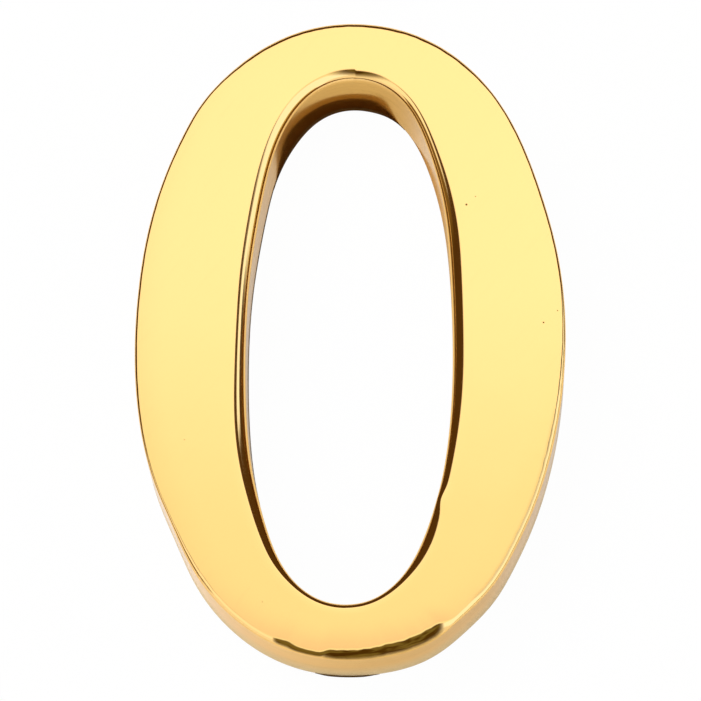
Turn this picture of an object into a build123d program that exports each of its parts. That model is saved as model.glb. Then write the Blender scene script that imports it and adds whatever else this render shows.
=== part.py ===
"""House number, numeral zero: one solid brass casting for concealed fixing on a door or a wall.

The numeral stands upright in its own frame, in millimetres. +Z is up, the polished face looks
along -Y, and the flat ground back lies in the plane Y = 0. The origin is the middle of the back,
halfway between the two blind tapped holes that take the concealed studs.
"""

import math
import os

from build123d import *

# Overall sizes, measured at the back where the drafted walls are widest
overall_height = 50.0
overall_width = 33.2
depth = 8.0

# Stroke widths at the back: the thick sides and the thin ends of the zero
side_stroke = 8.6
end_stroke = 4.65

# Walls lean in towards the face, so the casting leaves its mould
draft_angle = 0.75

# Polished round-overs of the two front edges
outer_edge_radius = 0.4
counter_edge_radius = 0.6

# Curve handles of each quarter of the outlines, as shares of that quarter's height and width
outer_upright_handle = 0.45
outer_level_handle = 0.70
counter_upright_handle = 0.50
counter_level_handle = 0.78

# Blind holes drilled for an M4 thread, one in the middle of each side stroke
tap_drill_diameter = 3.3
drill_point_angle = 118.0
metal_in_front_of_hole = 1.4

# Sizes that follow from those above
draft_run = depth * math.tan(math.radians(draft_angle))
stud_spacing = overall_width - side_stroke
tap_drill_radius = tap_drill_diameter / 2
drill_point_length = tap_drill_radius / math.tan(math.radians(drill_point_angle / 2))
drilled_depth = depth - metal_in_front_of_hole - drill_point_length

back_plane = Plane.XZ
face_plane = Plane.XZ.offset(depth)
drilling_plane = Plane.ZX
point_plane = Plane.ZX.offset(-drilled_depth)


def draw_oval(width, height, upright_handle, level_handle):
    """Draw a closed oval of four equal quarter curves into the open sketch."""
    half_width = width / 2
    half_height = height / 2
    with BuildLine() as outline:
        Bezier(
            (half_width, 0),
            (half_width, upright_handle * half_height),
            (level_handle * half_width, half_height),
            (0, half_height),
        )
        mirror(about=Plane.YZ)
        mirror(about=Plane.XZ)
    make_face(outline.edges())


def draw_outer_outline(inset):
    """Draw the zero's outer outline, drawn in from its size at the back."""
    draw_oval(
        overall_width - 2 * inset,
        overall_height - 2 * inset,
        outer_upright_handle,
        outer_level_handle,
    )


def draw_counter_outline(outset):
    """Draw the outline of the counter, the zero's opening, let out from its size at the back."""
    draw_oval(
        overall_width - 2 * side_stroke + 2 * outset,
        overall_height - 2 * end_stroke + 2 * outset,
        counter_upright_handle,
        counter_level_handle,
    )


with BuildPart() as numeral_zero:
    # Body of the casting, between its outlines at the back and at the face
    with BuildSketch(back_plane):
        draw_outer_outline(0)
    with BuildSketch(face_plane):
        draw_outer_outline(draft_run)
    loft(ruled=True)

    # Counter, right through the body
    with BuildSketch(back_plane):
        draw_counter_outline(0)
    with BuildSketch(face_plane):
        draw_counter_outline(draft_run)
    loft(ruled=True, mode=Mode.SUBTRACT)

    # Rounded front edges, outside and round the counter
    face = numeral_zero.faces().sort_by(Axis.Y).first
    fillet(face.outer_wire().edges(), outer_edge_radius)
    face = numeral_zero.faces().sort_by(Axis.Y).first
    fillet(face.inner_wires()[0].edges(), counter_edge_radius)

    # Blind holes for the studs, each ending in the cone that its drill leaves
    with Locations(drilling_plane):
        with GridLocations(stud_spacing, stud_spacing, 1, 2):
            Hole(tap_drill_radius, drilled_depth)
    with Locations(point_plane):
        with GridLocations(stud_spacing, stud_spacing, 1, 2):
            Cone(
                0,
                tap_drill_radius,
                drill_point_length,
                align=(Align.CENTER, Align.CENTER, Align.MAX),
                mode=Mode.SUBTRACT,
            )

numeral_zero.part.label = "numeral_zero"

os.makedirs("parts", exist_ok=True)
export_step(numeral_zero.part, "parts/numeral_zero.step")

print("stud spacing", round(stud_spacing, 3), "drilled depth", round(drilled_depth, 3))
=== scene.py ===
"""Looks of the house number: a polished brass numeral zero on a pale wall, seen from a little below.

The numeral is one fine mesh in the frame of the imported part, in metres. +Z is up, the polished
face looks along -Y, and the flat ground back lies in the plane Y = 0.
"""

from __future__ import annotations

import logging
import math
from dataclasses import dataclass, replace
from enum import IntEnum
from functools import cached_property

import bmesh
import bpy
import numpy as np
from mathutils import Matrix, Vector, noise

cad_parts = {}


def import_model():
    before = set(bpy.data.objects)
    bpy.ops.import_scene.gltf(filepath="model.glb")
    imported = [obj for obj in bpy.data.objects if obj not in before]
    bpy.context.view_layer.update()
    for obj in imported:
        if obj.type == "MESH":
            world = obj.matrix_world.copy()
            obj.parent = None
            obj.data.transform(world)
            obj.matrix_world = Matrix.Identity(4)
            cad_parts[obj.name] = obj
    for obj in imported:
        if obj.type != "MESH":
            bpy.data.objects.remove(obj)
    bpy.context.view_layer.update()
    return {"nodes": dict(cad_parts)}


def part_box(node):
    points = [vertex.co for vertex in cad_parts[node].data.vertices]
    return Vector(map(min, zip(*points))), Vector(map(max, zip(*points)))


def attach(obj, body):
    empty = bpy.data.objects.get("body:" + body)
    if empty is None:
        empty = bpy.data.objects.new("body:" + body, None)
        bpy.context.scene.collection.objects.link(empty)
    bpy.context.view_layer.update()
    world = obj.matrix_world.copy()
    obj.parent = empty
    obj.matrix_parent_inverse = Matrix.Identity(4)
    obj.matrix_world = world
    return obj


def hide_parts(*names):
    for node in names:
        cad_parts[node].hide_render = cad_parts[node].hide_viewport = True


LOG = logging.getLogger("house_number")
MM = 0.001

Colour = tuple[float, float, float, float]
Span = tuple[float, float]
Wire = bpy.types.NodeSocket


class Finish(IntEnum):
    """Material slots of the numeral, in the order in which they are filled."""

    POLISHED = 0
    GROUND = 1
    THREAD = 2


class Sheet:
    """A node tree with short ways to add nodes and to join them."""

    def __init__(self, tree: bpy.types.NodeTree) -> None:
        """Take the node tree of a material, a world or a node group."""
        self.tree = tree

    def add(self, kind: str, **settings: object) -> bpy.types.Node:
        """Add a node.

        Args:
            kind: The node's class name in Blender.
            **settings: Properties of the node, by name.

        Returns:
            The new node.
        """
        node = self.tree.nodes.new(kind)
        for name, value in settings.items():
            setattr(node, name, value)
        return node

    def feed(self, socket: Wire, source: object) -> None:
        """Join a socket to another one, or set its value.

        Args:
            socket: The input to feed.
            source: An output socket, or a plain value.
        """
        if isinstance(source, Wire):
            self.tree.links.new(source, socket)
        else:
            socket.default_value = source

    def fill(self, node: bpy.types.Node, values: dict[str, object]) -> None:
        """Feed a node's inputs by their names.

        Args:
            node: The node.
            values: Sockets or plain values, by the inputs' names.
        """
        for name, value in values.items():
            self.feed(node.inputs[name], value)

    def math(self, operation: str, *values: object) -> Wire:
        """Add a Math node.

        Args:
            operation: The operation's name in Blender.
            *values: Sockets or numbers, in order.

        Returns:
            The result's socket.
        """
        node = self.add("ShaderNodeMath", operation=operation)
        for socket, value in zip(node.inputs, values):
            self.feed(socket, value)
        return node.outputs[0]

    def times(self, first: object, *others: object) -> Wire:
        """Multiply numbers or masks.

        Args:
            first: The first socket or number.
            *others: The other ones, at least one.

        Returns:
            The product's socket.
        """
        for other in others:
            first = self.math("MULTIPLY", first, other)
        return first

    def vector(self, operation: str, *values: object) -> Wire:
        """Add a Vector Math node.

        Args:
            operation: The operation's name in Blender.
            *values: Sockets or triples, in order.

        Returns:
            The result's socket, a number for a length or a distance and a vector for the rest.
        """
        node = self.add("ShaderNodeVectorMath", operation=operation)
        for socket, value in zip(node.inputs, values):
            self.feed(socket, value)
        return node.outputs["Value" if operation in ("LENGTH", "DISTANCE") else "Vector"]

    def split(self, vector: Wire) -> list[Wire]:
        """Part a vector.

        Args:
            vector: The vector's socket.

        Returns:
            The sockets of X, Y and Z.
        """
        parts = self.add("ShaderNodeSeparateXYZ")
        self.feed(parts.inputs[0], vector)
        return list(parts.outputs)

    def join(self, x: Wire, y: Wire, z: Wire) -> Wire:
        """Join three numbers to a vector.

        Args:
            x: The socket of X.
            y: The socket of Y.
            z: The socket of Z.

        Returns:
            The vector's socket.
        """
        joined = self.add("ShaderNodeCombineXYZ")
        self.fill(joined, {"X": x, "Y": y, "Z": z})
        return joined.outputs[0]

    def cloud(self, place: Wire, scale: object, detail: float) -> Wire:
        """Add a Noise Texture.

        Args:
            place: Where the texture is read.
            scale: How many clouds there are to a unit.
            detail: How many finer layers it has.

        Returns:
            A number from 0 to 1.
        """
        texture = self.add("ShaderNodeTexNoise", noise_dimensions="3D")
        self.fill(texture, {"Vector": place, "Scale": scale, "Detail": detail})
        return texture.outputs[0]

    def ramp(
        self,
        value: object,
        start: object,
        end: object,
        low: float = 0.0,
        high: float = 1.0,
        kind: str = "LINEAR",
    ) -> Wire:
        """Map one range of numbers on to another, and hold at its ends.

        Args:
            value: The socket to read.
            start: The value that gives low.
            end: The value that gives high, on either side of start.
            low: The result at start.
            high: The result at end.
            kind: The curve's name in Blender.

        Returns:
            The result's socket.
        """
        node = self.add("ShaderNodeMapRange", interpolation_type=kind)
        names = ("Value", "From Min", "From Max", "To Min", "To Max")
        self.fill(node, dict(zip(names, (value, start, end, low, high))))
        return node.outputs["Result"]

    def smooth(self, value: object, start: object, end: object) -> Wire:
        """Rise smoothly from 0 at start to 1 at end."""
        return self.ramp(value, start, end, kind="SMOOTHSTEP")

    def lay_over(self, below: object, above: object, share: object) -> Wire:
        """Lay one number over another.

        Args:
            below: What shows where the share is 0.
            above: What shows where the share is 1.
            share: A mask from 0 to 1.

        Returns:
            The result's socket.
        """
        node = self.add("ShaderNodeMix", data_type="FLOAT")
        for place, source in ((0, share), (2, below), (3, above)):
            self.feed(node.inputs[place], source)
        return node.outputs[0]

    def tint(self, below: object, above: object, share: object, blend: str = "MIX") -> Wire:
        """Blend two colours.

        Args:
            below: The first colour, a socket or four numbers.
            above: The second colour, a socket or four numbers.
            share: A mask from 0 to 1.
            blend: The blend's name in Blender.

        Returns:
            The result's socket.
        """
        node = self.add("ShaderNodeMix", data_type="RGBA", blend_type=blend)
        for place, source in ((0, share), (6, below), (7, above)):
            self.feed(node.inputs[place], source)
        return node.outputs[2]

    def mix_shaders(self, below: Wire, above: Wire, share: Wire) -> Wire:
        """Mix two shaders.

        Args:
            below: What shows where the share is 0.
            above: What shows where the share is 1.
            share: A mask from 0 to 1.

        Returns:
            The mixed shader's socket.
        """
        node = self.add("ShaderNodeMixShader")
        for socket, source in zip(node.inputs, (share, below, above)):
            self.feed(socket, source)
        return node.outputs[0]

    def place(self, group: bpy.types.NodeTree, values: dict[str, object]) -> Wire:
        """Place a node group.

        Args:
            group: The node group.
            values: Sockets or numbers, by the inputs' names.

        Returns:
            The socket of the group's only output.
        """
        node = self.add("ShaderNodeGroup", node_tree=group)
        self.fill(node, values)
        return node.outputs[0]

    def close(self, surface: Wire, kind: str = "ShaderNodeOutputMaterial") -> None:
        """Join a shader to a new output node."""
        self.feed(self.add(kind).inputs["Surface"], surface)


def new_material(name: str) -> bpy.types.Material:
    """Make a material with an empty node tree.

    Args:
        name: The material's name.

    Returns:
        The new material.
    """
    material = bpy.data.materials.new(name)
    material.use_nodes = True
    material.node_tree.nodes.clear()
    return material


def new_group(
    name: str, inputs: dict[str, float | None], output: str
) -> tuple[Sheet, bpy.types.NodeOutputs, Wire]:
    """Make an empty shader node group that puts out one number.

    Args:
        name: The group's name.
        inputs: What each input starts at, by its name. None makes a vector.
        output: The output's name.

    Returns:
        The group's sheet, the sockets of its inputs by name, and the socket of its output.
    """
    tree = bpy.data.node_groups.new(name, "ShaderNodeTree")
    for label, start in inputs.items():
        kind = "NodeSocketVector" if start is None else "NodeSocketFloat"
        made = tree.interface.new_socket(label, in_out="INPUT", socket_type=kind)
        if start is not None:
            made.default_value = start
    tree.interface.new_socket(output, in_out="OUTPUT", socket_type="NodeSocketFloat")
    sheet = Sheet(tree)
    given, out = sheet.add("NodeGroupInput"), sheet.add("NodeGroupOutput")
    return sheet, given.outputs, out.inputs[output]


def polish_wave_group() -> bpy.types.NodeTree:
    """Slow swells that a buffing wheel leaves, with finer ripples on top.

    Returns:
        The node group, which puts out a height from about 0 to 1.
    """
    ripples_per_swell = 5.0
    inputs = {"Position": None, "Swell Size": 6.0, "Ripple Share": 0.2}
    sheet, given, out = new_group("polish_waves", inputs, "Height")
    per_metre = sheet.math("DIVIDE", 1.0 / MM, given["Swell Size"])
    swell = sheet.cloud(given["Position"], per_metre, 1.0)
    ripple = sheet.cloud(given["Position"], sheet.times(per_metre, ripples_per_swell), 2.0)
    sheet.feed(out, sheet.lay_over(swell, ripple, given["Ripple Share"]))
    return sheet.tree


def fine_scratch_group() -> bpy.types.NodeTree:
    """Fine straight scratches along one direction.

    Returns:
        The node group, which puts out a mask from 0 to 1.
    """
    edge_softness = 0.18
    inputs = {"Position": None, "Spacing": 0.1, "Length": 8.0, "Turn": 0.0, "Sparseness": 0.5}
    sheet, given, out = new_group("fine_scratches", inputs, "Mask")
    turned = sheet.add("ShaderNodeVectorRotate", rotation_type="Y_AXIS")
    sheet.fill(turned, {"Vector": given["Position"], "Angle": given["Turn"]})
    x, y, z = sheet.split(turned.outputs[0])
    along = sheet.math("DIVIDE", x, sheet.times(given["Length"], MM))
    across = sheet.math("DIVIDE", z, sheet.times(given["Spacing"], MM))
    lines = sheet.cloud(sheet.join(along, sheet.math("DIVIDE", y, MM), across), 1.0, 2.0)
    full = sheet.math("ADD", given["Sparseness"], edge_softness)
    sheet.feed(out, sheet.smooth(lines, given["Sparseness"], full))
    return sheet.tree


@dataclass(frozen=True)
class SharedEffects:
    """The node groups that more than one finish uses."""

    waves: bpy.types.NodeTree
    scratches: bpy.types.NodeTree


@dataclass(frozen=True)
class LinePattern:
    """How fine lines lie on the metal, in millimetres, and their turn in radians."""

    spacing: float
    length: float
    sparseness: float
    turn: float = 0.0


@dataclass(frozen=True)
class PatchPattern:
    """How cloudy patches lie on the metal: their size in millimetres and where they start and are full."""

    size: float
    ripple_share: float
    start: float
    full: float


class MetalSheet(Sheet):
    """The node tree of a metal, with its shader and the position in the part's frame."""

    def __init__(self, name: str, effects: SharedEffects) -> None:
        """Start a metal material.

        Args:
            name: The material's name.
            effects: The shared node groups.
        """
        self.material = new_material(name)
        super().__init__(self.material.node_tree)
        self.effects = effects
        self.shader = self.add("ShaderNodeBsdfPrincipled")
        self.shader.inputs["Metallic"].default_value = 1.0
        self.close(self.shader.outputs["BSDF"])
        self.position = self.add("ShaderNodeTexCoord").outputs["Object"]

    @cached_property
    def axes(self) -> list[Wire]:
        """The X, Y and Z of the position."""
        return self.split(self.position)

    @cached_property
    def flat(self) -> Wire:
        """The position laid flat on the plane of the back."""
        return self.vector("MULTIPLY", self.position, (1.0, 0.0, 1.0))

    def distance(self, x: float, z: float) -> Wire:
        """Give the distance from a place on the face, in millimetres across and up, at any depth."""
        return self.vector("DISTANCE", self.flat, (x * MM, 0.0, z * MM))

    def dress(self, name: str, source: Wire) -> None:
        """Feed an input of the metal's shader."""
        self.feed(self.shader.inputs[name], source)

    def dent(self, height: Wire, depth_mm: float, strength: float = 1.0, invert: bool = False) -> None:
        """Give the metal a fine relief.

        Args:
            height: The socket of the relief's height.
            depth_mm: How deep it is, in millimetres.
            strength: How far it shows.
            invert: Whether the height goes into the metal.
        """
        bump = self.add("ShaderNodeBump", invert=invert)
        self.fill(bump, {"Strength": strength, "Distance": depth_mm * MM, "Height": height})
        self.dress("Normal", bump.outputs["Normal"])

    def waves(self, size: float, ripple_share: float) -> Wire:
        """Place the polish waves.

        Args:
            size: The size of a swell, in millimetres.
            ripple_share: How much of the height is finer ripples.

        Returns:
            The socket of the height.
        """
        values = {"Position": self.position, "Swell Size": size, "Ripple Share": ripple_share}
        return self.place(self.effects.waves, values)

    def patches(self, pattern: PatchPattern) -> Wire:
        """Mark cloudy patches by a mask from 0 to 1."""
        return self.smooth(self.waves(pattern.size, pattern.ripple_share), pattern.start, pattern.full)

    def lines(self, pattern: LinePattern, position: Wire | None = None) -> Wire:
        """Mark fine lines.

        Args:
            pattern: How the lines lie.
            position: The position to read, if not the metal's own.

        Returns:
            A mask from 0 to 1.
        """
        values = {
            "Position": self.position if position is None else position,
            "Spacing": pattern.spacing,
            "Length": pattern.length,
            "Turn": pattern.turn,
            "Sparseness": pattern.sparseness,
        }
        return self.place(self.effects.scratches, values)

    def lines_along(self, pattern: LinePattern) -> Wire:
        """Mark lines that run along the walls and the edges, each at one depth."""
        x, y, z = self.axes
        return self.lines(pattern, self.join(x, self.math("DIVIDE", z, pattern.length), y))


@dataclass(frozen=True)
class Pit:
    """A small casting pit that the polish has opened in the face, in millimetres."""

    x: float
    z: float
    radius: float


FACE_LEVEL_MM = 8.0
FACE_PITS = (
    Pit(8.80, 10.44, 0.075),
    Pit(14.79, 1.21, 0.06),
    Pit(15.85, 2.16, 0.04),
    Pit(9.49, 11.09, 0.035),
    Pit(-12.4, -8.3, 0.03),
    Pit(-6.2, -20.7, 0.03),
)


@dataclass(frozen=True)
class PaintedEdgeReflection:
    """A streak of dark reflection painted on a front edge, in millimetres.

    It lies round a place on the edge, from one depth below the face to another, and fades there over
    a share of its depth. A blunt one keeps its depth up to its ends.
    """

    x: float
    z: float
    half_length: float
    bluntness: float
    rise_from: float
    rise_to: float
    fade: float
    outer: bool
    strength: float = 1.0


# Dark reflections painted on the front edges: along the bottom, thin at the lower right, and at the counter's
# top
PAINTED_EDGE_REFLECTIONS = (
    PaintedEdgeReflection(3.15, -24.6, 5.05, 14.0, 0.030, 0.92, 0.72, True),
    PaintedEdgeReflection(-3.3, -24.6, 2.45, 8.0, 0.028, 0.42, 0.68, True),
    PaintedEdgeReflection(14.2, -13.6, 8.5, 8.0, 0.019, 0.062, 0.50, True, 0.3),
    PaintedEdgeReflection(0.3, 20.4, 2.7, 1.6, 0.006, 0.22, 0.85, False),
)


@dataclass(frozen=True)
class PolishedBrass:
    """Buffed yellow brass: a deep mirror with slow swells, hairlines and a few pits, painted dark edge
    reflections and painted shade.
    """

    colour: Colour = (0.98, 0.645, 0.245, 1.0)
    pit_colour: Colour = (0.36, 0.24, 0.07, 1.0)
    # Colours of the dark reflections painted on the front edges, streaked with a thinner one
    painted_reflection_colour: Colour = (0.07, 0.024, 0.001, 1.0)
    thin_painted_reflection_colour: Colour = (0.17, 0.09, 0.01, 1.0)
    edge_tint: Colour = (0.93, 0.75, 0.47, 1.0)
    satin_colour: Colour = (0.81, 0.69, 0.47, 1.0)
    streak_colour: Colour = (0.84, 0.53, 0.17, 1.0)
    # Black laid over the counter's inner walls as painted shade
    dull_and_shade_colour: Colour = (0.0, 0.0, 0.0, 1.0)
    roughness: float = 0.085
    hairline_roughness: float = 0.13
    satin_roughness: float = 0.26
    painted_reflection_roughness: float = 0.3
    pit_roughness: float = 0.45
    satin_metal: float = 0.88
    streak_share: float = 0.25
    # How far the counter's inner walls are darkened as painted shade
    counter_painted_shade: float = 0.12
    swell_height_mm: float = 0.006
    swell_size_mm: float = 5.5
    ripple_share: float = 0.06
    # Where a painted reflection begins and is full, as shares of its upper edge, and where a pit's rim ends,
    # of its radius
    painted_reflection_start: Span = (0.7, 1.2)
    pit_rim: Span = (1.5, 0.6)
    hairlines: LinePattern = LinePattern(0.09, 6.0, 0.56, turn=0.9)
    file_lines: LinePattern = LinePattern(0.7, 12.0, 0.44)
    painted_reflection_lines: LinePattern = LinePattern(0.13, 1.8, 0.42)
    # Levels along the depth, from the face down to the wall's satin foot
    pit_level: float = -7.5 * MM
    edge_level: float = -7.2 * MM
    wall_level: float = -6.6 * MM
    satin_level: float = -4.5 * MM
    # Half sizes of the oval that parts the outer half of the stroke from the inner one
    middle_oval: Span = (12.3 * MM, 22.7 * MM)

    def build(self, effects: SharedEffects) -> bpy.types.Material:
        """Make the material.

        Args:
            effects: The shared node groups.

        Returns:
            The finished material.
        """
        sheet = MetalSheet("polished_brass", effects)
        depth = sheet.axes[1]
        on_wall = sheet.smooth(depth, self.edge_level, self.wall_level)
        on_face = sheet.smooth(depth, self.wall_level, self.edge_level)
        half_width, half_height = self.middle_oval
        middle = sheet.vector("MULTIPLY", sheet.position, (1 / half_width, 0.0, 1 / half_height))
        outside = sheet.math("GREATER_THAN", sheet.vector("LENGTH", middle), 1.0)
        inside = sheet.math("SUBTRACT", 1.0, outside)
        satin = sheet.times(outside, sheet.smooth(depth, self.satin_level, 0.0))
        streaks = sheet.times(sheet.lines_along(self.file_lines), on_wall, self.streak_share)
        painted_reflection_mask = self.paint_edge_reflections(sheet, outside, inside)
        pits = self.pit_mask(sheet)

        buffed = sheet.tint(self.colour, self.streak_colour, streaks)
        buffed = sheet.tint(buffed, self.satin_colour, satin)
        # Painted shade: the counter's inner walls are darkened towards black
        buffed = sheet.tint(buffed, self.dull_and_shade_colour, sheet.times(inside, on_wall, self.counter_painted_shade))
        # Painted reflection: dark streaks laid over the front edges
        painted_reflection_lines = sheet.lines_along(self.painted_reflection_lines)
        painted_reflection = sheet.tint(self.painted_reflection_colour, self.thin_painted_reflection_colour, painted_reflection_lines)
        buffed = sheet.tint(buffed, painted_reflection, painted_reflection_mask)
        sheet.dress("Base Color", sheet.tint(buffed, self.pit_colour, pits))
        sheet.shader.inputs["Specular Tint"].default_value = self.edge_tint
        sheet.dress("Metallic", sheet.lay_over(1.0, self.satin_metal, satin))

        dulled: object = self.roughness
        for roughness, mask in (
            (self.hairline_roughness, sheet.times(sheet.lines(self.hairlines), on_face)),
            (self.satin_roughness, sheet.math("MAXIMUM", satin, streaks)),
            (self.painted_reflection_roughness, painted_reflection_mask),
            (self.pit_roughness, pits),
        ):
            dulled = sheet.lay_over(dulled, roughness, mask)
        sheet.dress("Roughness", dulled)
        sheet.dent(sheet.waves(self.swell_size_mm, self.ripple_share), self.swell_height_mm)
        return sheet.material

    def paint_edge_reflections(self, sheet: MetalSheet, outside: Wire, inside: Wire) -> Wire:
        """Mark the dark reflections painted on the front edges.

        Args:
            sheet: The material's sheet.
            outside: The mask of the outer half of the stroke.
            inside: The mask of its inner half.

        Returns:
            A mask that is up to 1 in each painted reflection.
        """
        rise = sheet.math("ADD", sheet.math("DIVIDE", sheet.axes[1], MM), FACE_LEVEL_MM)
        start, full = self.painted_reflection_start
        mask: object = 0.0
        for painted_reflection in PAINTED_EDGE_REFLECTIONS:
            apart = sheet.math("DIVIDE", sheet.distance(painted_reflection.x, painted_reflection.z), painted_reflection.half_length * MM)
            share = sheet.math("POWER", apart, painted_reflection.bluntness)
            reach = sheet.ramp(share, 0.0, 1.0, painted_reflection.rise_to, painted_reflection.rise_from)
            begun = sheet.smooth(rise, start * painted_reflection.rise_from, full * painted_reflection.rise_from)
            over = sheet.smooth(sheet.math("SUBTRACT", reach, rise), 0.0, painted_reflection.fade * painted_reflection.rise_to)
            here = sheet.times(outside if painted_reflection.outer else inside, begun, over, painted_reflection.strength)
            mask = sheet.math("MAXIMUM", mask, here)
        return mask

    def pit_mask(self, sheet: MetalSheet) -> Wire:
        """Mark the pits of the face.

        Args:
            sheet: The material's sheet.

        Returns:
            A mask that is 1 in each pit.
        """
        outer, inner = self.pit_rim
        mask: object = 0.0
        for pit in FACE_PITS:
            radius = pit.radius * MM
            here = sheet.smooth(sheet.distance(pit.x, pit.z), radius * outer, radius * inner)
            mask = sheet.math("MAXIMUM", mask, here)
        return sheet.times(mask, sheet.math("LESS_THAN", sheet.axes[1], self.pit_level))


@dataclass(frozen=True)
class GroundBrass:
    """The back, ground flat on a belt and left satin, a little dulled by handling."""

    colour: Colour = (0.80, 0.54, 0.21, 1.0)
    dull_and_shade_colour: Colour = (0.55, 0.36, 0.15, 1.0)
    roughness: float = 0.30
    line_roughness: float = 0.42
    line_depth_mm: float = 0.004
    line_strength: float = 0.8
    belt_lines: LinePattern = LinePattern(0.16, 14.0, 0.42, turn=1.52)
    dull_patches: PatchPattern = PatchPattern(9.0, 0.35, 0.42, 0.68)

    def build(self, effects: SharedEffects) -> bpy.types.Material:
        """Make the material.

        Args:
            effects: The shared node groups.

        Returns:
            The finished material.
        """
        sheet = MetalSheet("ground_brass", effects)
        lines = sheet.lines(self.belt_lines)
        dulling = sheet.patches(self.dull_patches)
        sheet.dress("Base Color", sheet.tint(self.colour, self.dull_and_shade_colour, dulling))
        sheet.dress("Roughness", sheet.lay_over(self.roughness, self.line_roughness, lines))
        sheet.dent(lines, self.line_depth_mm, self.line_strength, invert=True)
        return sheet.material


@dataclass(frozen=True)
class CutThread:
    """Freshly tapped brass in the stud holes, darker in patches where oil has stayed."""

    colour: Colour = (0.90, 0.60, 0.22, 1.0)
    oily_colour: Colour = (0.34, 0.21, 0.08, 1.0)
    roughness: float = 0.22
    oily_roughness: float = 0.4
    oil_patches: PatchPattern = PatchPattern(1.2, 0.4, 0.45, 0.70)

    def build(self, effects: SharedEffects) -> bpy.types.Material:
        """Make the material.

        Args:
            effects: The shared node groups.

        Returns:
            The finished material.
        """
        sheet = MetalSheet("cut_thread", effects)
        oil = sheet.patches(self.oil_patches)
        sheet.dress("Base Color", sheet.tint(self.colour, self.oily_colour, oil))
        sheet.dress("Roughness", sheet.lay_over(self.roughness, self.oily_roughness, oil))
        return sheet.material


@dataclass(frozen=True)
class Oval:
    """A closed oval of four equal quarter curves, standing in the XZ plane, in metres."""

    half_width: float
    half_height: float
    upright_share: float
    level_share: float
    lower_extra: float = 0.0

    def grown(self, by: float) -> Oval:
        """Return the oval let out by a length on every side."""
        return replace(self, half_width=self.half_width + by, half_height=self.half_height + by)

    def trace(self, stations: int) -> tuple[np.ndarray, np.ndarray]:
        """Walk once round the oval, from its right side over the top.

        Args:
            stations: The number of points, a multiple of four.

        Returns:
            The points and the outward unit normals, each as rows of X and Z.
        """
        quarter = stations // 4
        share = np.arange(quarter) / quarter
        points, normals = [], []
        for turn, mirror in enumerate(((1, 1), (-1, 1), (-1, -1), (1, -1))):
            height = self.half_height + (self.lower_extra if turn > 1 else 0.0)
            frame = np.array(
                [
                    (self.half_width, 0.0),
                    (self.half_width, self.upright_share * height),
                    (self.level_share * self.half_width, height),
                    (0.0, height),
                ]
            )
            t = (1.0 - share if turn % 2 == 1 else share)[:, None]
            point = (
                (1 - t) ** 3 * frame[0]
                + 3 * (1 - t) ** 2 * t * frame[1]
                + 3 * (1 - t) * t**2 * frame[2]
                + t**3 * frame[3]
            )
            slope = (
                3 * (1 - t) ** 2 * (frame[1] - frame[0])
                + 6 * (1 - t) * t * (frame[2] - frame[1])
                + 3 * t**2 * (frame[3] - frame[2])
            )
            normal = np.stack([slope[:, 1], -slope[:, 0]], axis=1)
            normal /= np.linalg.norm(normal, axis=1)[:, None]
            points.append(point * np.array(mirror))
            normals.append(normal * np.array(mirror))
        return np.concatenate(points), np.concatenate(normals)


def add_band(
    mesh: bmesh.types.BMesh,
    near: list[bmesh.types.BMVert],
    far: list[bmesh.types.BMVert],
    finish: Finish,
) -> None:
    """Join two closed rows of points by a band of quads.

    Args:
        mesh: The mesh to build into.
        near: The first row.
        far: The second row, with as many points.
        finish: The material slot of the new faces.
    """
    for step, point in enumerate(near):
        after = (step + 1) % len(near)
        face = mesh.faces.new((point, near[after], far[after], far[step]))
        face.material_index = finish


def loop_edges(mesh: bmesh.types.BMesh, row: list[bmesh.types.BMVert]) -> list[bmesh.types.BMEdge]:
    """Return the edges along a closed row of points, making those that are missing.

    Args:
        mesh: The mesh that holds the points.
        row: The points in order.

    Returns:
        One edge for each point.
    """
    edges = []
    for pair in zip(row, row[1:] + row[:1]):
        edge = mesh.edges.get(pair)
        edges.append(edge if edge is not None else mesh.edges.new(pair))
    return edges


def face_the_viewer(mesh: bmesh.types.BMesh) -> None:
    """Turn a flat mesh's faces towards -Y.

    Args:
        mesh: The mesh to turn.
    """
    for face in mesh.faces:
        face.normal_update()
        if face.normal.y > 0:
            face.normal_flip()


def linked_object(name: str, mesh: bmesh.types.BMesh) -> bpy.types.Object:
    """Make an object of a mesh and link it to the scene.

    Args:
        name: The object's name.
        mesh: Its mesh, which is freed.

    Returns:
        The new object.
    """
    data = bpy.data.meshes.new(name)
    mesh.to_mesh(data)
    mesh.free()
    made = bpy.data.objects.new(name, data)
    bpy.context.scene.collection.objects.link(made)
    return made


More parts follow.
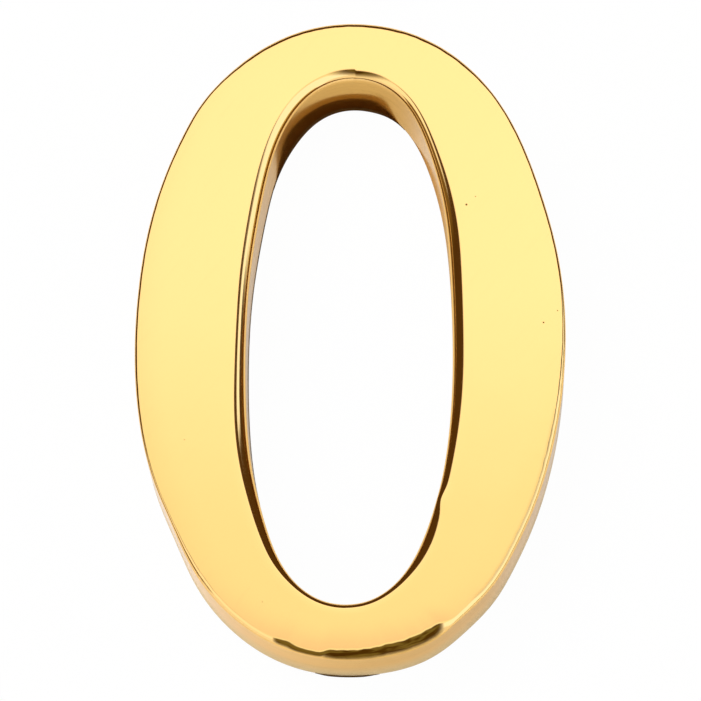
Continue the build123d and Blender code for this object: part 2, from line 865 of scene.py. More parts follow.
@dataclass
class StudHole:
    """A blind hole in the back, tapped for a stud, in metres."""

    x: float
    drill_radius: float = 1.65 * MM
    thread_radius: float = 2.0 * MM
    pitch: float = 0.7 * MM
    threaded_depth: float = 4.9 * MM
    drilled_depth: float = 5.609 * MM
    point_angle: float = 118.0
    mouth_radius: float = 2.2 * MM
    # A groove's height over its crest at the middle, and how steeply its flanks fall, with the crest cut off
    groove_top: float = 1.25
    groove_slope: float = 2.7
    # Share of a pitch over which the thread runs out
    runout: float = 0.5
    around: int = 64
    rows_per_pitch: int = 12

    def radius_at(self, depth: float, angle: np.ndarray) -> np.ndarray:
        """Give the hole's radius at a depth below the back.

        Args:
            depth: The depth.
            angle: Angles round the hole's axis.

        Returns:
            The radius at each angle, in metres.
        """
        phase = np.mod(depth / self.pitch - angle / (2 * math.pi), 1.0)
        groove = np.clip(self.groove_top - self.groove_slope * np.abs(phase - 0.5), 0.0, 1.0)
        fade = np.clip((self.threaded_depth - depth) / (self.runout * self.pitch), 0.0, 1.0)
        thread = self.drill_radius + (self.thread_radius - self.drill_radius) * groove * fade
        return np.maximum(thread, self.mouth_radius - depth)

    def build(self, mesh: bmesh.types.BMesh) -> list[bmesh.types.BMEdge]:
        """Build the hole's wall and its drill point.

        Args:
            mesh: The mesh to build into.

        Returns:
            The edges of the hole's mouth, in the plane of the back.
        """
        angle = np.arange(self.around) / self.around * 2 * math.pi
        count = int(round(self.drilled_depth / self.pitch * self.rows_per_pitch))
        rows = []
        for depth in np.linspace(0.0, self.drilled_depth, count + 1):
            ring = zip(self.radius_at(depth, angle), angle)
            rows.append(
                [mesh.verts.new((self.x + r * math.cos(a), -depth, r * math.sin(a))) for r, a in ring]
            )
        for above, below in zip(rows, rows[1:]):
            add_band(mesh, above, below, Finish.THREAD)
        point_length = self.drill_radius / math.tan(math.radians(self.point_angle / 2))
        tip = mesh.verts.new((self.x, -(self.drilled_depth + point_length), 0.0))
        last = rows[-1]
        for first, second in zip(last, last[1:] + last[:1]):
            face = mesh.faces.new((first, second, tip))
            face.material_index = Finish.THREAD
        return loop_edges(mesh, rows[0])


def smooth_step(value: np.ndarray, start: float, end: float) -> np.ndarray:
    """Rise smoothly from 0 at start to 1 at end.

    Args:
        value: The numbers to read.
        start: Where the result is 0.
        end: Where the result is 1, on either side of start.

    Returns:
        One number from 0 to 1 for each value.
    """
    share = np.clip((value - start) / (end - start), 0.0, 1.0)
    return share * share * (3 - 2 * share)


@dataclass(frozen=True)
class Stretch:
    """A stretch of an edge with its own share of roundness, full near its middle, in metres."""

    share: float
    middle: float
    start: float
    full: float

    def at(self, height: np.ndarray) -> np.ndarray:
        """Give the share at each height."""
        return self.share * smooth_step(np.abs(height - self.middle), self.start, self.full)


@dataclass(frozen=True)
class Swelling:
    """A short swelling of an edge, in metres."""

    share: float
    middle: float
    reach: float

    def at(self, place: np.ndarray) -> np.ndarray:
        """Give the share at each place."""
        return self.share * np.exp(-(((place - self.middle) / self.reach) ** 2))


@dataclass(frozen=True)
class FiledSpot:
    """A stretch of a wall that the file has left a hair proud or low, in millimetres."""

    x: float
    z: float
    reach: float
    rise: float
    foot_rise: float


OUTER_SPOTS = (
    FiledSpot(15.3, 12.5, 6.0, -0.25, -0.25),
    FiledSpot(-15.0, -15.6, 3.6, -0.32, -0.32),
    FiledSpot(-16.6, 2.0, 6.0, -0.12, -0.12),
    FiledSpot(6.6, -24.0, 3.4, 0.22, 0.22),
    FiledSpot(11.2, -19.0, 2.6, 0.16, 0.16),
    FiledSpot(-11.6, 18.2, 3.0, 0.14, 0.14),
)
COUNTER_SPOTS = (
    FiledSpot(-6.6, 10.0, 5.0, 0.20, 0.20),
    FiledSpot(-8.0, 3.0, 12.0, 0.16, 0.0),
    FiledSpot(-5.2, -13.5, 3.5, 0.17, 0.17),
    FiledSpot(8.0, 5.0, 9.0, 0.26, 0.14),
    FiledSpot(5.0, 14.5, 3.5, 0.20, 0.10),
    FiledSpot(5.0, -14.5, 3.0, 0.10, 0.10),
)


def filed_rise(points: np.ndarray, spots: tuple[FiledSpot, ...]) -> tuple[np.ndarray, np.ndarray]:
    """Add up how far a wall stands proud of its outline.

    Args:
        points: The outline's points, as rows of X and Z.
        spots: The uneven stretches of the wall.

    Returns:
        The rise at the front and at the foot, in metres, for each point.
    """
    front, foot = np.zeros(len(points)), np.zeros(len(points))
    for spot in spots:
        apart = np.linalg.norm(points / MM - (spot.x, spot.z), axis=1)
        near = MM * np.exp(-((apart / spot.reach) ** 2))
        front += spot.rise * near
        foot += spot.foot_rise * near
    return front, foot


def lift(flat: np.ndarray, level: float | np.ndarray) -> np.ndarray:
    """Turn rows of X and Z into points at a level along Y."""
    depth = np.broadcast_to(np.asarray(level, float), (len(flat),))
    return np.stack([flat[:, 0], depth, flat[:, 1]], axis=1)


def unevenness(points: np.ndarray, size: float, seed: float) -> np.ndarray:
    """Give a slow random number along an edge.

    Args:
        points: The edge's points, as rows of X and Z.
        size: The length over which the number changes, in metres.
        seed: A number that picks another edge's pattern.

    Returns:
        One number from about -1 to 1 for each point.
    """
    return np.array([noise.noise(Vector((x / size, seed, z / size))) for x, z in points])


@dataclass
class NumeralZero:
    """The numeral: an oval ring with drafted walls, rounded front edges and a flat back."""

    width: float
    height: float
    depth: float
    side_stroke: float = 8.6 * MM
    end_stroke: float = 4.65 * MM
    draft_angle: float = 0.75
    outer_edge_radius: float = 0.4 * MM
    counter_edge_radius: float = 0.6 * MM
    back_edge_radius: float = 0.15 * MM
    # Curve handles of the two outlines, as shares of each quarter
    outer_handles: Span = (0.45, 0.70)
    counter_handles: Span = (0.50, 0.78)
    # Filing has let the counter down a little at its lower end
    counter_drop: float = 0.3 * MM
    # How far the radii of the edges wander, and the size and the seed of each wave in them
    outer_wander: float = 0.10
    counter_wander: float = 0.07
    outer_slow_wave: Span = (5 * MM, 3.1)
    outer_quick_wave: Span = (0.6 * MM, 8.4)
    counter_wave: Span = (6 * MM, 1.7)
    # Hand work has left the outer edge crisper above, but less so at the crown, and on the left
    crisp_share: float = 0.55
    crisp_heights: Span = (-0.35, 0.25)
    crown_share: float = 0.7
    crown_heights: Span = (19 * MM, 23.5 * MM)
    crisp_left: Span = (-2 * MM, -8 * MM)
    crisp_left_heights: Span = (-20 * MM, -14 * MM)
    crisp_left_top: float = 10 * MM
    # It has left the counter's edge fuller at the sides, and tighter at the lower end
    fuller_right: Stretch = Stretch(0.50, 3 * MM, 15 * MM, 4 * MM)
    fuller_left: Stretch = Stretch(0.36, 6 * MM, 19 * MM, 10 * MM)
    fuller_low_left: Swelling = Swelling(0.55, -10 * MM, 6 * MM)
    fuller_low_right: Swelling = Swelling(0.30, -15.5 * MM, 1.8 * MM)
    tighter_share: float = 0.40
    tighter_heights: Span = (-0.82, -0.98)
    # Lump left on the counter's right edge, where the round-over is tighter
    lump: Swelling = Swelling(0.42, -12.5 * MM, 0.85 * MM)
    # Bottom edge dressed by hand to a wider round-over, less so on the left, with a nick beside it
    dressed_from: Span = (-2.0 * MM, -1.0 * MM)
    dressed_to: Span = (8.5 * MM, 7.0 * MM)
    dressed_radius: float = 0.95 * MM
    dressed_less: float = 0.24
    dressed_less_between: Span = (4 * MM, 0.0)
    nick: Swelling = Swelling(0.65, -4.6 * MM, 0.9 * MM)
    # The buff takes the flat down by a hair next to the edges
    outer_fall: float = 0.018 * MM
    outer_fall_reach: float = 2.2 * MM
    counter_fall: float = 0.006 * MM
    counter_fall_reach: float = 0.6 * MM
    # Rows of the mesh, and the share of the wall's height at which rows hold its two ends
    stations: int = 512
    face_rows: int = 34
    arc_rows: int = 14
    wall_rows: int = 6
    back_rows: int = 5
    wall_hold: float = 0.02
    sharp_angle: float = 32.0

    def outer_oval(self) -> Oval:
        """Return the outer outline at the back."""
        return Oval(self.width / 2, self.height / 2, *self.outer_handles)

    def counter_oval(self) -> Oval:
        """Return the counter's outline at the back."""
        half_height = self.height / 2 - self.end_stroke
        return Oval(self.width / 2 - self.side_stroke, half_height, *self.counter_handles, self.counter_drop)

    def outer_radius(self, points: np.ndarray) -> np.ndarray:
        """Give the radius of the outer front edge.

        Args:
            points: The outline's points, as rows of X and Z.

        Returns:
            The radius at each point, in metres.
        """
        rough = 1.0 + self.outer_wander * unevenness(points, *self.outer_slow_wave)
        rough += self.outer_wander * unevenness(points, *self.outer_quick_wave)
        x, z = points[:, 0], points[:, 1]
        low, high = self.crisp_heights
        upper = smooth_step(z, low * self.height / 2, high * self.height / 2)
        upper *= 1 - self.crown_share * smooth_step(z, *self.crown_heights)
        left = smooth_step(x, *self.crisp_left) * smooth_step(z, *self.crisp_left_heights)
        crisp = self.crisp_share * np.maximum(upper, left * (z < self.crisp_left_top))
        dressed = smooth_step(x, *self.dressed_from) * smooth_step(x, *self.dressed_to)
        dressed = np.maximum(dressed, self.nick.at(x)) * (z < 0)
        plain = self.outer_edge_radius * (1 - crisp)
        less = self.dressed_less * smooth_step(x, *self.dressed_less_between)
        return rough * (plain * (1 - dressed) + self.dressed_radius * (1 - less) * dressed)

    def counter_radius(self, points: np.ndarray) -> np.ndarray:
        """Give the radius of the counter's front edge.

        Args:
            points: The outline's points, as rows of X and Z.

        Returns:
            The radius at each point, in metres.
        """
        rough = 1.0 + self.counter_wander * unevenness(points, *self.counter_wave)
        x, z = points[:, 0], points[:, 1]
        top = self.height / 2 - self.end_stroke
        right = self.fuller_right.at(z) + self.fuller_low_right.at(z)
        left = self.fuller_left.at(z) + self.fuller_low_left.at(z)
        start, full = self.tighter_heights
        tighter = self.tighter_share * smooth_step(z, start * top, full * top)
        share = 1 + np.where(x > 0, right, left) - tighter
        return self.counter_edge_radius * rough * share * (1 - self.lump.at(z) * (x > 0))

    def foot_line(self, outward: float, inset: float | np.ndarray) -> np.ndarray:
        """Trace the foot of a wall.

        Args:
            outward: 1 for the outer wall, -1 for the counter's.
            inset: How far the line lies inside the metal.

        Returns:
            The line's points, as rows of X and Z.
        """
        if outward > 0:
            oval, spots = self.outer_oval(), OUTER_SPOTS
        else:
            oval, spots = self.counter_oval(), COUNTER_SPOTS
        points, normal = oval.trace(self.stations)
        foot = filed_rise(points, spots)[1] - inset
        return points + normal * outward * foot[:, None]

    def wall_and_edge(
        self, oval: Oval, outward: float, radius: np.ndarray, fall: float, spots: tuple[FiledSpot, ...]
    ) -> tuple[list[np.ndarray], np.ndarray]:
        """Build the rows of one wall, from the back plane to the flat of the face.

        Args:
            oval: The wall's outline at the back.
            outward: 1 where the wall looks away from the middle, -1 where it looks into the counter.
            radius: The radius of the front edge at each station.
            fall: How far the front edge has been buffed down.
            spots: The stretches where the wall stands proud of its outline.

        Returns:
            The rows of points, and where the flat starts as rows of X and Z.
        """
        draft = math.radians(self.draft_angle)
        run = self.depth * math.tan(draft)
        back, normal = oval.trace(self.stations)
        front, _ = oval.grown(-run * outward).trace(self.stations)
        side = normal * outward
        front_rise, foot_rise = filed_rise(back, spots)
        back = back + side * foot_rise[:, None]
        front = front + side * front_rise[:, None]
        rows = []
        for turn in np.linspace(0.0, math.pi / 2, self.back_rows):
            offset = self.back_edge_radius * (math.sin(turn) - 1.0)
            level = self.back_edge_radius * (math.cos(turn) - 1.0)
            rows.append(lift(back + side * offset, level))
        inset = radius * (1 - math.sin(draft)) / math.cos(draft)
        start_level = -self.depth + radius - radius * math.sin(draft)
        start = front + side * (-inset + radius * math.cos(draft))[:, None]
        between = np.linspace(0, 1, self.wall_rows + 1)[1:-1]
        for share in (self.wall_hold, *between, 1 - self.wall_hold):
            level = -self.back_edge_radius * (1 - share) + start_level * share
            rows.append(lift(back * (1 - share) + start * share, level))
        for angle in np.linspace(draft, math.pi / 2, self.arc_rows + 1):
            offset = -inset + radius * math.cos(angle)
            level = -self.depth + radius - radius * math.sin(angle)
            rows.append(lift(front + side * offset[:, None], level + fall))
        return rows, front - side * inset[:, None]

    def face_points(self, outer: np.ndarray, inner: np.ndarray) -> list[np.ndarray]:
        """Build the rows of the flat face between the two front edges.

        Args:
            outer: Where the outer edge meets the flat, as rows of X and Z.
            inner: Where the counter's edge meets the flat.

        Returns:
            The rows of points, without the two that the edges already have.
        """
        across = np.linalg.norm(outer - inner, axis=1)
        steps = np.arange(1, self.face_rows) / self.face_rows
        rows = []
        for share in (1 - np.cos(math.pi * steps)) / 2:
            flat = outer * (1 - share) + inner * share
            from_outer = np.clip(1 - across * share / self.outer_fall_reach, 0.0, 1.0)
            from_counter = np.clip(1 - across * (1 - share) / self.counter_fall_reach, 0.0, 1.0)
            fall = self.outer_fall * from_outer**2 + self.counter_fall * from_counter**2
            rows.append(lift(flat, -self.depth + fall))
        return rows

    def build(self) -> bpy.types.Object:
        """Build the numeral's mesh.

        Returns:
            The new object, linked to the scene.
        """
        outer, counter = self.outer_oval(), self.counter_oval()
        radius = self.outer_radius(outer.trace(self.stations)[0])
        outer_rows, outer_flat = self.wall_and_edge(outer, 1.0, radius, self.outer_fall, OUTER_SPOTS)
        radius = self.counter_radius(counter.trace(self.stations)[0])
        inner_rows, inner_flat = self.wall_and_edge(counter, -1.0, radius, self.counter_fall, COUNTER_SPOTS)
        mesh = bmesh.new()
        rows = [
            [mesh.verts.new(point) for point in row]
            for row in outer_rows + self.face_points(outer_flat, inner_flat) + inner_rows[::-1]
        ]
        for near, far in zip(rows, rows[1:]):
            add_band(mesh, near, far, Finish.POLISHED)
        rim = loop_edges(mesh, rows[0]) + loop_edges(mesh, rows[-1])
        stud_x = (self.width - self.side_stroke) / 2
        for hole in (StudHole(-stud_x), StudHole(stud_x)):
            rim += hole.build(mesh)
        filled = bmesh.ops.triangle_fill(mesh, edges=rim, use_beauty=True, normal=(0, 1, 0))
        for piece in filled["geom"]:
            if isinstance(piece, bmesh.types.BMFace):
                piece.material_index = Finish.GROUND
        bmesh.ops.recalc_face_normals(mesh, faces=mesh.faces)
        made = linked_object("house_numeral_zero", mesh)
        made.data.shade_smooth()
        made.data.set_sharp_from_angle(angle=math.radians(self.sharp_angle))
        return made

    def dress(self, piece: bpy.types.Object) -> None:
        """Give the numeral its finishes, in the order of their slots.

        Args:
            piece: The numeral's object.
        """
        effects = SharedEffects(polish_wave_group(), fine_scratch_group())
        for finish in (PolishedBrass(), GroundBrass(), CutThread()):
            piece.data.materials.append(finish.build(effects))


@dataclass
class PhotoCamera:
    """The camera of the photograph: a long lens, a little below and to the right of the numeral."""

    distance: float = 343.4 * MM
    below: float = 13.2
    right: float = 1.38
    roll: float = 1.05
    lens_mm: float = 231.1
    sensor_mm: float = 36.0
    aim_right: float = 0.08 * MM
    aim_up: float = -1.15 * MM
    clip: Span = (0.01, 20.0)

    def build(self, target: Vector) -> None:
        """Make the camera and set it as the scene's own.

        Args:
            target: The middle of the numeral's face.
        """
        below, turn, roll = (math.radians(angle) for angle in (self.below, self.right, self.roll))
        level = math.cos(below)
        back = Vector((math.sin(turn) * level, -math.cos(turn) * level, -math.sin(below)))
        level_right = Vector((math.cos(turn), math.sin(turn), 0.0))
        level_up = level_right.cross(-back)
        right = math.cos(roll) * level_right + math.sin(roll) * level_up
        up = -math.sin(roll) * level_right + math.cos(roll) * level_up
        place = target + back * self.distance
        forward = (target + right * self.aim_right + up * self.aim_up - place).normalized()
        right = (right - forward * right.dot(forward)).normalized()
        up = right.cross(forward)
        data = bpy.data.cameras.new("photo_camera")
        data.lens = self.lens_mm
        data.sensor_width = self.sensor_mm
        data.clip_start, data.clip_end = self.clip
        camera = bpy.data.objects.new("photo_camera", data)
        turned = Matrix((right, up, -forward)).transposed().to_4x4()
        camera.matrix_world = Matrix.Translation(place) @ turned
        bpy.context.scene.collection.objects.link(camera)
        bpy.context.scene.camera = camera


@dataclass(frozen=True)
class SoftPanel:
    """A bright or dark panel of the studio, by its direction from the numeral, in degrees."""

    azimuth: float
    elevation: float
    half_width: float
    half_height: float
    softness: float
    light: Colour

    def sockets(self) -> dict[str, float]:
        """Sort the panel's place and size for its node group.

        Returns:
            The numbers, by the names of the group's inputs.
        """
        return {
            "Centre Azimuth": self.azimuth,
            "Centre Elevation": self.elevation,
            "Half Width": self.half_width,
            "Half Height": self.half_height,
            "Softness": self.softness,
        }


def white(level: float) -> Colour:
    """Return a neutral colour at a level."""
    return (level, level, level, 1.0)


@dataclass
class Studio:
    """Pale wall and floor, a soft key lamp and the panels that the metal mirrors."""

    wall_gap: float = 0.05 * MM
    wall_reach: float = 2.5
    wall_steps: tuple[float, ...] = (0.0, 0.004, 0.02, 0.1, 1.0)
    floor_drop: float = 0.45
    # Shadow at the foot of the counter's upper wall, where it fades on the left and on the right
    crescent_left: Span = (13.5 * MM, 18.5 * MM)
    crescent_right: Span = (3.9 * MM, 0.8 * MM)
    line_width: float = 0.2 * MM
    shadow_width: float = 0.8 * MM
    soft_width: float = 1.2 * MM
    # Thin shadows at the counter's sides, and where they fade below
    left_shadow: float = 0.09 * MM
    left_heights: Span = (-18 * MM, -14 * MM)
    right_shadow: float = 0.35 * MM
    right_heights: Span = (19 * MM, 14 * MM)
    # Painted shadow: a thin dark line under the outer wall at the bottom, where it fades on the left and on
    # the right
    foot_shadow_width: float = 0.09 * MM
    foot_shadow_left: Span = (-2.6 * MM, -1.2 * MM)
    foot_shadow_right: Span = (2.8 * MM, 1.2 * MM)
    # Where the strips of shadow lie in the gap behind the numeral, as shares of it, and their matt finish
    line_rise: float = 0.4
    shadow_rise: float = 0.6
    glow_rise: float = 0.8
    shadow_roughness: float = 0.9
    shadow_shine: float = 0.1
    wall_colour: Colour = (0.80, 0.79, 0.77, 1.0)
    floor_colour: Colour = (0.82, 0.81, 0.80, 1.0)
    # Painted shade: the wall's darker paint where the metal mirrors it a second time, deep in the counter
    deep_shade_colour: Colour = (0.22, 0.19, 0.15, 1.0)
    shadow_colour: Colour = (0.12, 0.065, 0.02, 1.0)
    glow_colour: Colour = (0.58, 0.42, 0.20, 1.0)
    # How far the wall and the floor read as white to the camera, and to the mirror of the metal
    white_to_camera: float = 0.98
    white_to_metal: float = 0.5
    # Ray depth below which the metal has mirrored a ray only once
    mirrored_once: float = 1.5
    key_size: Span = (0.8, 0.5)
    key_place: tuple[float, float, float] = (-0.45, -0.95, 0.35)
    key_watts: float = 11.0
    room: Colour = (0.085, 0.042, 0.010, 1.0)
    panels: tuple[SoftPanel, ...] = (
        SoftPanel(0.0, -48.0, 180.0, 44.0, 3.0, white(1.0)),
        SoftPanel(-30.0, -22.0, 20.0, 25.5, 2.0, white(1.2)),
        SoftPanel(-68.0, -9.5, 15.0, 16.5, 3.0, (0.20, 0.125, 0.035, 1.0)),
        SoftPanel(-102.0, -8.0, 16.0, 18.0, 4.0, (0.66, 0.58, 0.40, 1.0)),
        SoftPanel(53.0, -25.0, 46.0, 34.0, 3.0, (1.22, 1.36, 1.62, 1.0)),
        SoftPanel(45.5, -1.0, 13.0, 17.3, 1.5, (1.22, 1.36, 1.62, 1.0)),
        SoftPanel(98.0, -20.5, 20.0, 29.5, 3.0, (0.46, 0.41, 0.14, 1.0)),
        SoftPanel(180.0, 10.0, 52.0, 60.0, 8.0, white(0.8)),
        SoftPanel(-180.0, 10.0, 52.0, 60.0, 8.0, white(0.8)),
    )
    # The panel that the face mirrors, its other colours above and at the foot, and their elevations
    front: SoftPanel = SoftPanel(-1.0, 7.0, 9.0, 19.0, 2.0, (1.12, 1.17, 1.04, 1.0))
    front_high: Colour = (1.42, 1.39, 1.41, 1.0)
    front_foot: Colour = (1.03, 0.88, 0.86, 1.0)
    high_from: Span = (10.2, 14.2)
    foot_from: Span = (9.3, 7.1)
    foot_to: Span = (3.0, 6.0)
    # Its level falls off at the left, and a little from right to left: azimuths, then levels
    left_dimming: tuple[Span, Span] = ((-13.0, -4.0), (0.6, 1.0))
    across_dimming: tuple[Span, Span] = ((-5.0, 2.5), (0.985, 1.005))

    def build_wall(self, numeral: NumeralZero) -> None:
        """Build the wall, open only where the numeral covers it, so that its back can be seen.

        Args:
            numeral: The numeral, for the feet of its walls.
        """
        margin = numeral.back_edge_radius + self.wall_gap
        mesh = bmesh.new()
        edge = numeral.foot_line(1.0, margin)
        turn = np.arctan2(edge[:, 1], edge[:, 0])
        far = np.stack([np.cos(turn), np.sin(turn)], axis=1) * self.wall_reach
        rows = []
        for share in self.wall_steps:
            flat = edge * (1 - share) + far * share
            rows.append([mesh.verts.new((x, self.wall_gap, z)) for x, z in flat])
        for near, beyond in zip(rows, rows[1:]):
            add_band(mesh, near, beyond, Finish.POLISHED)
        island = numeral.foot_line(-1.0, margin)
        mesh.faces.new([mesh.verts.new((x, self.wall_gap, z)) for x, z in island])
        face_the_viewer(mesh)
        self.staged("pale_wall", mesh, self.pale_material("pale_wall", self.wall_colour, True))

    def build_floor(self) -> None:
        """Build the floor, well below the numeral."""
        mesh = bmesh.new()
        reach = self.wall_reach
        corners = [(-reach, -reach), (reach, -reach), (reach, reach), (-reach, reach)]
        mesh.faces.new([mesh.verts.new((x, y, -self.floor_drop)) for x, y in corners])
        floor = self.staged("pale_floor", mesh, self.pale_material("pale_floor", self.floor_colour, False))
        floor.visible_glossy = False

    def build_strip(
        self, name: str, lines: tuple[np.ndarray, np.ndarray], kept: np.ndarray, rise: float, colour: Colour
    ) -> bpy.types.Object:
        """Build a strip of shadow between two lines along a wall, which only the metal's mirror sees.

        Args:
            name: The strip's name.
            lines: Its two edges, each as rows of X and Z.
            kept: Which stations it covers.
            rise: Where it lies in the gap behind the numeral, as a share.
            colour: Its colour.

        Returns:
            The strip's object.
        """
        mesh = bmesh.new()
        rows = [[mesh.verts.new((x, rise * self.wall_gap, z)) for x, z in line] for line in lines]
        for step, here in enumerate(kept):
            after = (step + 1) % len(kept)
            if here and kept[after]:
                mesh.faces.new((rows[0][step], rows[0][after], rows[1][after], rows[1][step]))
        loose = [vert for vert in mesh.verts if not vert.link_faces]
        bmesh.ops.delete(mesh, geom=loose, context="VERTS")
        face_the_viewer(mesh)
        material = new_material(name)
        sheet = Sheet(material.node_tree)
        shader = sheet.add("ShaderNodeBsdfPrincipled")
        finish = {"Roughness": self.shadow_roughness, "Specular IOR Level": self.shadow_shine}
        sheet.fill(shader, {"Base Color": colour} | finish)
        sheet.close(self.one_sided(sheet, shader.outputs["BSDF"]))
        strip = self.staged(name, mesh, material)
        strip.visible_camera = False
        strip.visible_diffuse = False
        strip.visible_shadow = False
        strip.visible_transmission = False
        return strip

    def build_contact_shadow(self, numeral: NumeralZero) -> None:
        """Build the shadow round the foot of the counter's wall: dark above, thin and brown at the sides.

        Args:
            numeral: The numeral, for its counter.
        """
        x, z = numeral.foot_line(-1.0, 0.0).T
        fade_left, fade_right = smooth_step(z, *self.crescent_left), smooth_step(x, *self.crescent_right)
        crescent = np.where(x < 0, fade_left, fade_right) * (z > 0)
        left = self.left_shadow * smooth_step(z, *self.left_heights) * (x < 0)
        right = self.right_shadow * smooth_step(np.abs(z), *self.right_heights) * (x > 0)
        dark = np.maximum(self.shadow_width * crescent, left)
        soft = np.maximum(self.soft_width * crescent, right)
        hidden = numeral.foot_line(-1.0, numeral.back_edge_radius)
        for name, width, rise, colour in (
            ("contact_line", self.line_width * crescent, self.line_rise, self.shadow_colour),
            ("contact_shadow", dark, self.shadow_rise, self.shadow_colour),
            ("contact_glow", soft, self.glow_rise, self.glow_colour),
        ):
            lines = hidden, numeral.foot_line(-1.0, -width)
            strip = self.build_strip(name, lines, width > 0, rise, colour)
            strip.visible_camera = name == "contact_line"

    def build_foot_shadow(self, numeral: NumeralZero) -> None:
        """Build the painted shadow under the outer wall: a thin dark line where the numeral meets the wall at
        the bottom.

        Args:
            numeral: The numeral, for its outer wall.
        """
        x, z = numeral.foot_line(1.0, 0.0).T
        width = self.foot_shadow_width * smooth_step(x, *self.foot_shadow_left)
        width *= smooth_step(x, *self.foot_shadow_right)
        lines = numeral.foot_line(1.0, numeral.back_edge_radius), numeral.foot_line(1.0, -width)
        kept = (width > 0) & (z < 0)
        # Painted shadow, seen by the camera as well as by the mirror
        strip = self.build_strip("foot_line", lines, kept, self.line_rise, self.shadow_colour)
        strip.visible_camera = True

    def staged(self, name: str, mesh: bmesh.types.BMesh, material: bpy.types.Material) -> bpy.types.Object:
        """Make an object of the stage from a mesh.

        Args:
            name: The object's name.
            mesh: Its mesh, which is freed.
            material: Its material.

        Returns:
            The new object, with its material.
        """
        made = linked_object(name, mesh)
        made.data.materials.append(material)
        return made

    def pale_material(self, name: str, colour: Colour, one_sided: bool) -> bpy.types.Material:
        """Make a matt paint that reads as white to the camera and keeps soft shadows.

        Args:
            name: The material's name.
            colour: The paint's colour.
            one_sided: Whether the back of the surface is clear.

        Returns:
            The material.
        """
        material = new_material(name)
        sheet = Sheet(material.node_tree)
        paint, bright = sheet.add("ShaderNodeBsdfDiffuse"), sheet.add("ShaderNodeEmission")
        rays = sheet.add("ShaderNodeLightPath").outputs
        glossy = rays["Is Glossy Ray"]
        mirrored = sheet.times(glossy, sheet.math("LESS_THAN", rays["Ray Depth"], self.mirrored_once))
        again = sheet.math("SUBTRACT", glossy, mirrored)
        # Painted shade: rays mirrored more than once see the wall darker
        sheet.feed(paint.inputs["Color"], sheet.tint(colour, self.deep_shade_colour, again))
        to_camera = sheet.times(rays["Is Camera Ray"], self.white_to_camera)
        shown = sheet.math("MAXIMUM", to_camera, sheet.times(mirrored, self.white_to_metal))
        seen = sheet.mix_shaders(paint.outputs[0], bright.outputs[0], shown)
        sheet.close(self.one_sided(sheet, seen) if one_sided else seen)
        return material

    def one_sided(self, sheet: Sheet, shader: Wire) -> Wire:
        """Make a shader clear from behind.

        Args:
            sheet: The material's sheet.
            shader: What shows from the front.

        Returns:
            The socket of the joined shader.
        """
        clear = sheet.add("ShaderNodeBsdfTransparent").outputs[0]
        return sheet.mix_shaders(shader, clear, sheet.add("ShaderNodeNewGeometry").outputs["Backfacing"])

    def build_key(self) -> None:
        """Make the soft key lamp, above and to the left in front."""
        data = bpy.data.lights.new("soft_key", "AREA")
        data.shape = "RECTANGLE"
        data.size, data.size_y = self.key_size
        data.energy = self.key_watts
        lamp = bpy.data.objects.new("soft_key", data)
        lamp.location = self.key_place
        lamp.rotation_mode = "QUATERNION"
        lamp.rotation_quaternion = (-lamp.location).to_track_quat("-Z", "Y")
        lamp.visible_glossy = False
        lamp.visible_camera = False
        bpy.context.scene.collection.objects.link(lamp)

    def panel_group(self) -> bpy.types.NodeTree:
        """Make the node group that masks a panel of the studio by its direction.

        Returns:
            The node group, which puts out a mask from 0 to 1.
        """
        inputs = dict.fromkeys(("Azimuth", "Elevation", *self.front.sockets()), 0.0)
        sheet, given, out = new_group("soft_panel", inputs, "Mask")
        inner = sheet.times(given["Softness"], -1.0)
        masks = []
        for angle, half in (("Azimuth", "Half Width"), ("Elevation", "Half Height")):
            apart = sheet.math("ABSOLUTE", sheet.math("SUBTRACT", given[angle], given[f"Centre {angle}"]))
            beyond = sheet.math("SUBTRACT", apart, given[half])
            masks.append(sheet.smooth(beyond, given["Softness"], inner))
        sheet.feed(out, sheet.times(*masks))
        return sheet.tree

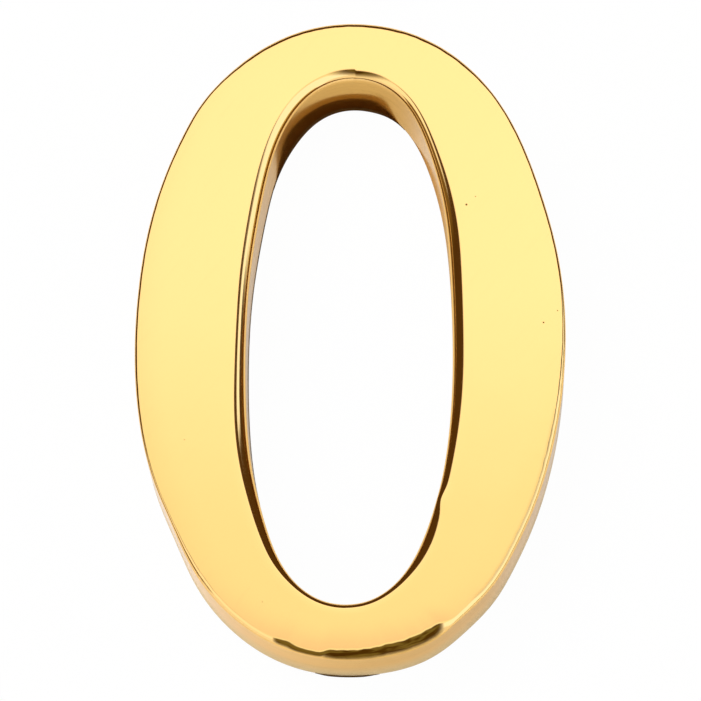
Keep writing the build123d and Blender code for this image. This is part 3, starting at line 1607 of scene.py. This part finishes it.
    def build_world(self) -> None:
        """Build the room: white to the camera, and panels for the light and the mirror."""
        world = bpy.data.worlds.new("studio")
        bpy.context.scene.world = world
        world.use_nodes = True
        world.node_tree.nodes.clear()
        sheet = Sheet(world.node_tree)
        x, y, z = sheet.split(sheet.add("ShaderNodeTexCoord").outputs["Generated"])
        azimuth = sheet.math("DEGREES", sheet.math("ARCTAN2", x, sheet.times(y, -1.0)))
        elevation = sheet.math("DEGREES", sheet.math("ARCSINE", z))
        direction = {"Azimuth": azimuth, "Elevation": elevation}
        group = self.panel_group()
        colour: object = self.room
        for panel in self.panels:
            colour = sheet.tint(colour, panel.light, sheet.place(group, direction | panel.sockets()))
        front = self.front_light(sheet, azimuth, elevation)
        colour = sheet.tint(colour, front, sheet.place(group, direction | self.front.sockets()))
        light, plain = sheet.add("ShaderNodeBackground"), sheet.add("ShaderNodeBackground")
        sheet.fill(light, {"Color": colour, "Strength": 1.0})
        sheet.fill(plain, {"Color": white(1.0), "Strength": 1.0})
        to_camera = sheet.add("ShaderNodeLightPath").outputs["Is Camera Ray"]
        seen = sheet.mix_shaders(light.outputs[0], plain.outputs[0], to_camera)
        sheet.close(seen, "ShaderNodeOutputWorld")

    def front_light(self, sheet: Sheet, azimuth: Wire, elevation: Wire) -> Wire:
        """Shade the panel that the face mirrors.

        Args:
            sheet: The world's sheet.
            azimuth: The socket of the direction's azimuth.
            elevation: The socket of the direction's elevation.

        Returns:
            The socket of the panel's colour.
        """
        front = sheet.tint(self.front.light, self.front_high, sheet.smooth(elevation, *self.high_from))
        foot = sheet.times(sheet.smooth(elevation, *self.foot_from), sheet.smooth(elevation, *self.foot_to))
        front = sheet.tint(front, self.front_foot, foot)
        angles, levels = self.left_dimming
        dimming = sheet.ramp(sheet.smooth(azimuth, *angles), 0.0, 1.0, *levels)
        angles, levels = self.across_dimming
        across = sheet.ramp(azimuth, *angles, *levels)
        return sheet.tint(front, sheet.times(dimming, across), 1.0, "MULTIPLY")

    def build(self, numeral: NumeralZero) -> None:
        """Build the whole stage round the numeral.

        Args:
            numeral: The numeral, for its outlines.
        """
        self.build_wall(numeral)
        self.build_floor()
        self.build_contact_shadow(numeral)
        self.build_foot_shadow(numeral)
        self.build_key()
        self.build_world()


def main() -> None:
    """Build the numeral on its stage and report each piece."""
    logging.basicConfig(level=logging.INFO, format="%(name)s: %(message)s")
    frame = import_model()
    LOG.info("frame has the nodes %s", sorted(frame["nodes"]))
    low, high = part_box("numeral_zero")
    numeral = NumeralZero(width=high.x - low.x, height=high.z - low.z, depth=-low.y)
    PhotoCamera().build(Vector((0.0, low.y, 0.0)))
    piece = numeral.build()
    numeral.dress(piece)
    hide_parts("numeral_zero")
    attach(piece, "root")
    LOG.info("%s has %d faces", piece.name, len(piece.data.polygons))
    Studio().build(numeral)
    bpy.context.scene.view_settings.view_transform = "Standard"


if __name__ == "__main__":
    main()
